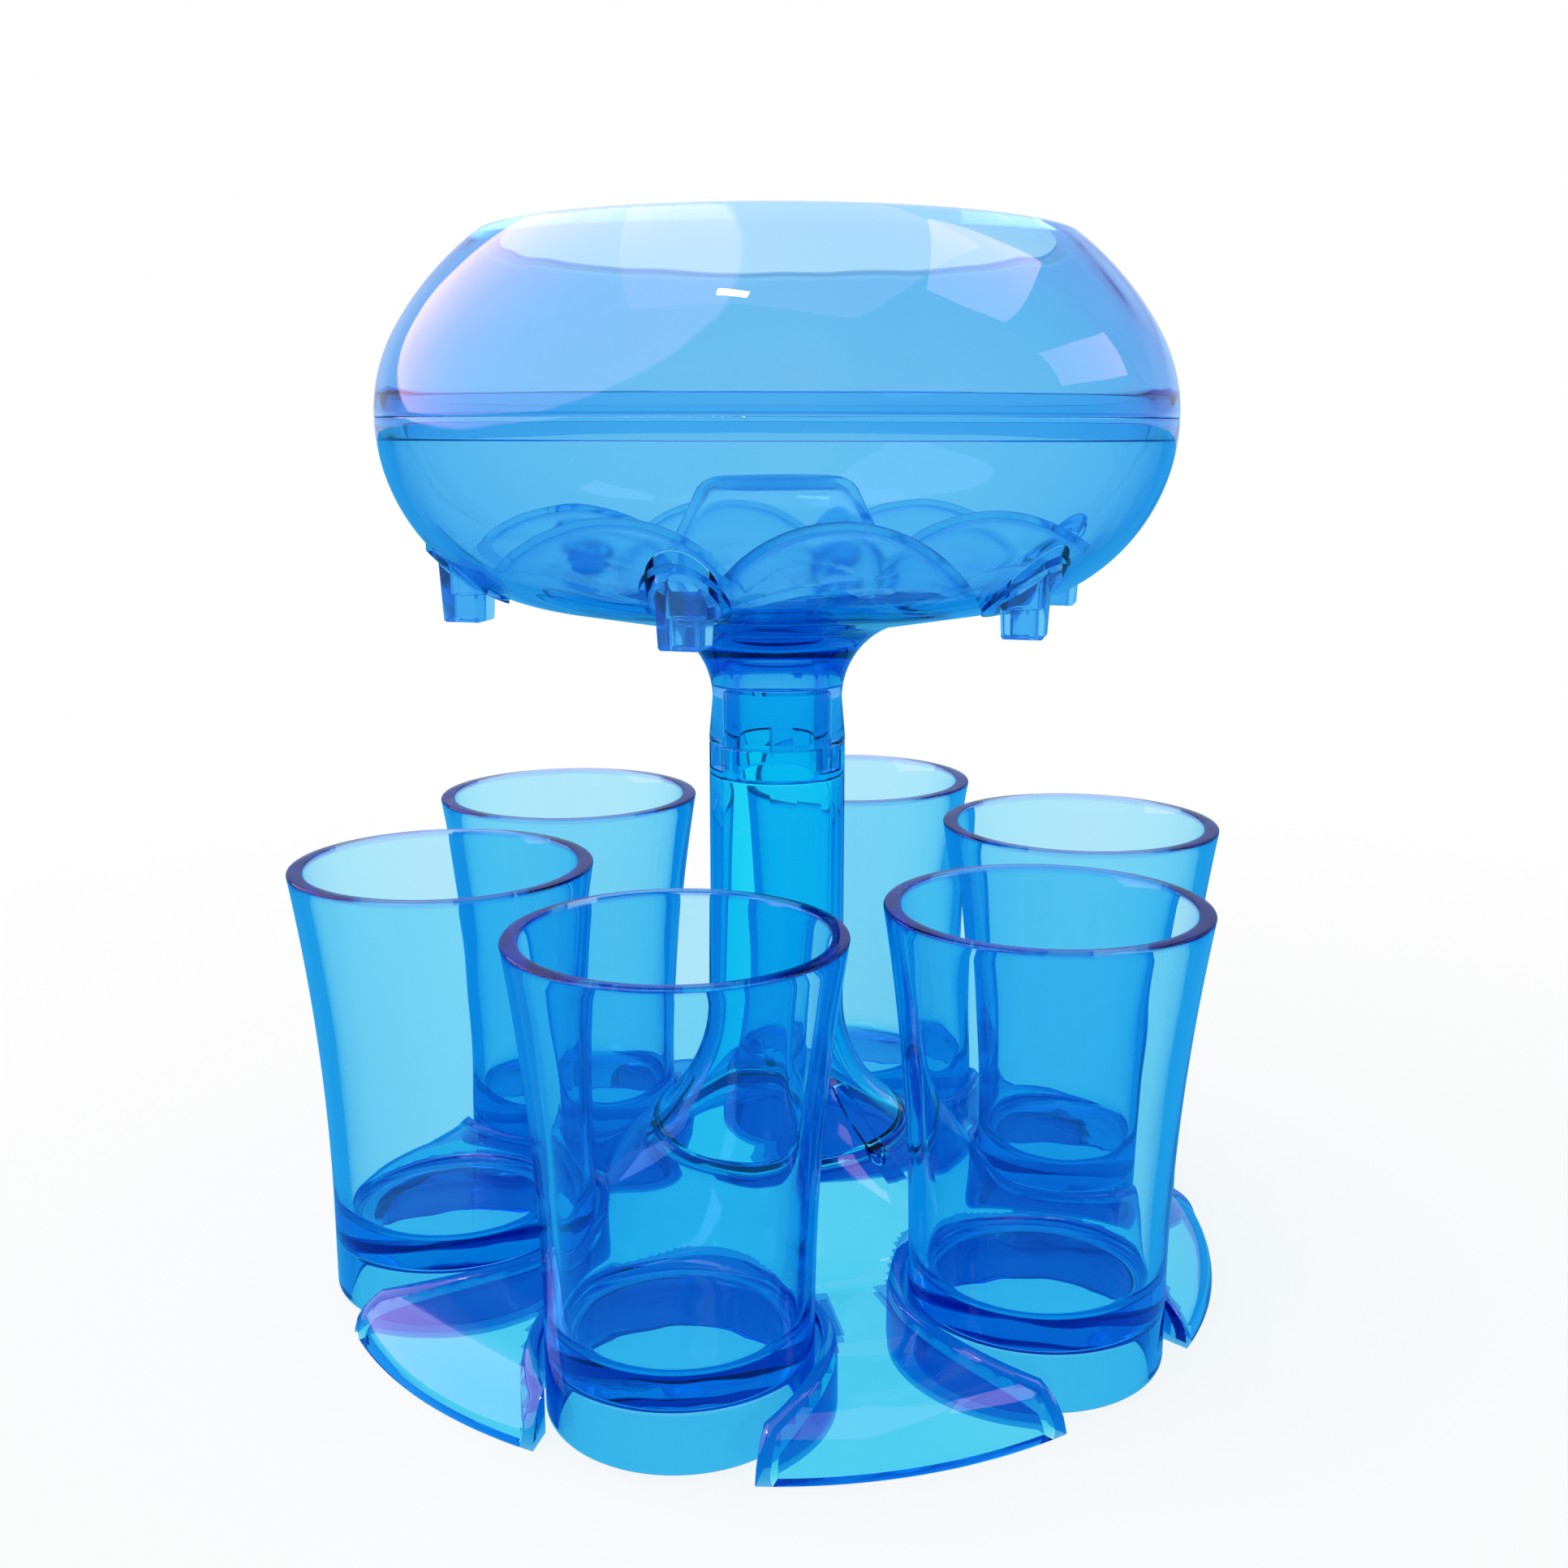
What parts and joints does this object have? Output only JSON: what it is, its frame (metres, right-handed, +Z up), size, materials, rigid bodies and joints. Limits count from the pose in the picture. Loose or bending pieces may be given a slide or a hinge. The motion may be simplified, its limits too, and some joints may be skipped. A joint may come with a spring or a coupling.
{
  "type": "party shot dispenser",
  "caption": "Clear blue plastic party drink dispenser: a round bowl on a column pours through spouts into shot glasses that stand in the notches of a petal-shaped base.",
  "frame": {"origin": "on the table, under the middle of the column", "axes": "+Z up the column; glass_1 and spout_1 stand towards -Y, the others follow every 60 degrees towards +X"},
  "size_m": [0.1426, 0.152, 0.16],
  "materials": {
    "base_plastic": "clear tinted, glossy",
    "column_plastic": "clear tinted, glossy",
    "bowl_plastic": "clear tinted, glossy",
    "divider_plastic": "clear tinted, glossy",
    "spout_plastic": "clear tinted, glossy",
    "glass_plastic": "clear tinted, glossy"
  },
  "bodies": {
    "base": {"base_tray": "base_plastic", "column": "column_plastic"},
    "bowl": {"bowl_lower": "bowl_plastic", "bowl_upper": "bowl_plastic", "flow_divider": "divider_plastic", "spout_1": "spout_plastic", "spout_2": "spout_plastic", "spout_3": "spout_plastic", "spout_4": "spout_plastic", "spout_5": "spout_plastic", "spout_6": "spout_plastic"},
    "glass_1": {"glass_1": "glass_plastic"},
    "glass_2": {"glass_2": "glass_plastic"},
    "glass_3": {"glass_3": "glass_plastic"},
    "glass_4": {"glass_4": "glass_plastic"},
    "glass_5": {"glass_5": "glass_plastic"},
    "glass_6": {"glass_6": "glass_plastic"}
  },
  "joints": [
    {"name": "bowl_lift", "type": "slide", "parent": "base", "child": "bowl", "axis": [0, 0, 1], "range_m": [0, 0.04]},
    {"name": "glass_1_lift", "type": "slide", "parent": "base", "child": "glass_1", "axis": [0, 0, 1], "range_m": [0, 0.03]},
    {"name": "glass_2_lift", "type": "slide", "parent": "base", "child": "glass_2", "axis": [0, 0, 1], "range_m": [0, 0.03]},
    {"name": "glass_3_lift", "type": "slide", "parent": "base", "child": "glass_3", "axis": [0, 0, 1], "range_m": [0, 0.03]},
    {"name": "glass_4_lift", "type": "slide", "parent": "base", "child": "glass_4", "axis": [0, 0, 1], "range_m": [0, 0.03]},
    {"name": "glass_5_lift", "type": "slide", "parent": "base", "child": "glass_5", "axis": [0, 0, 1], "range_m": [0, 0.03]},
    {"name": "glass_6_lift", "type": "slide", "parent": "base", "child": "glass_6", "axis": [0, 0, 1], "range_m": [0, 0.03]}
  ]
}
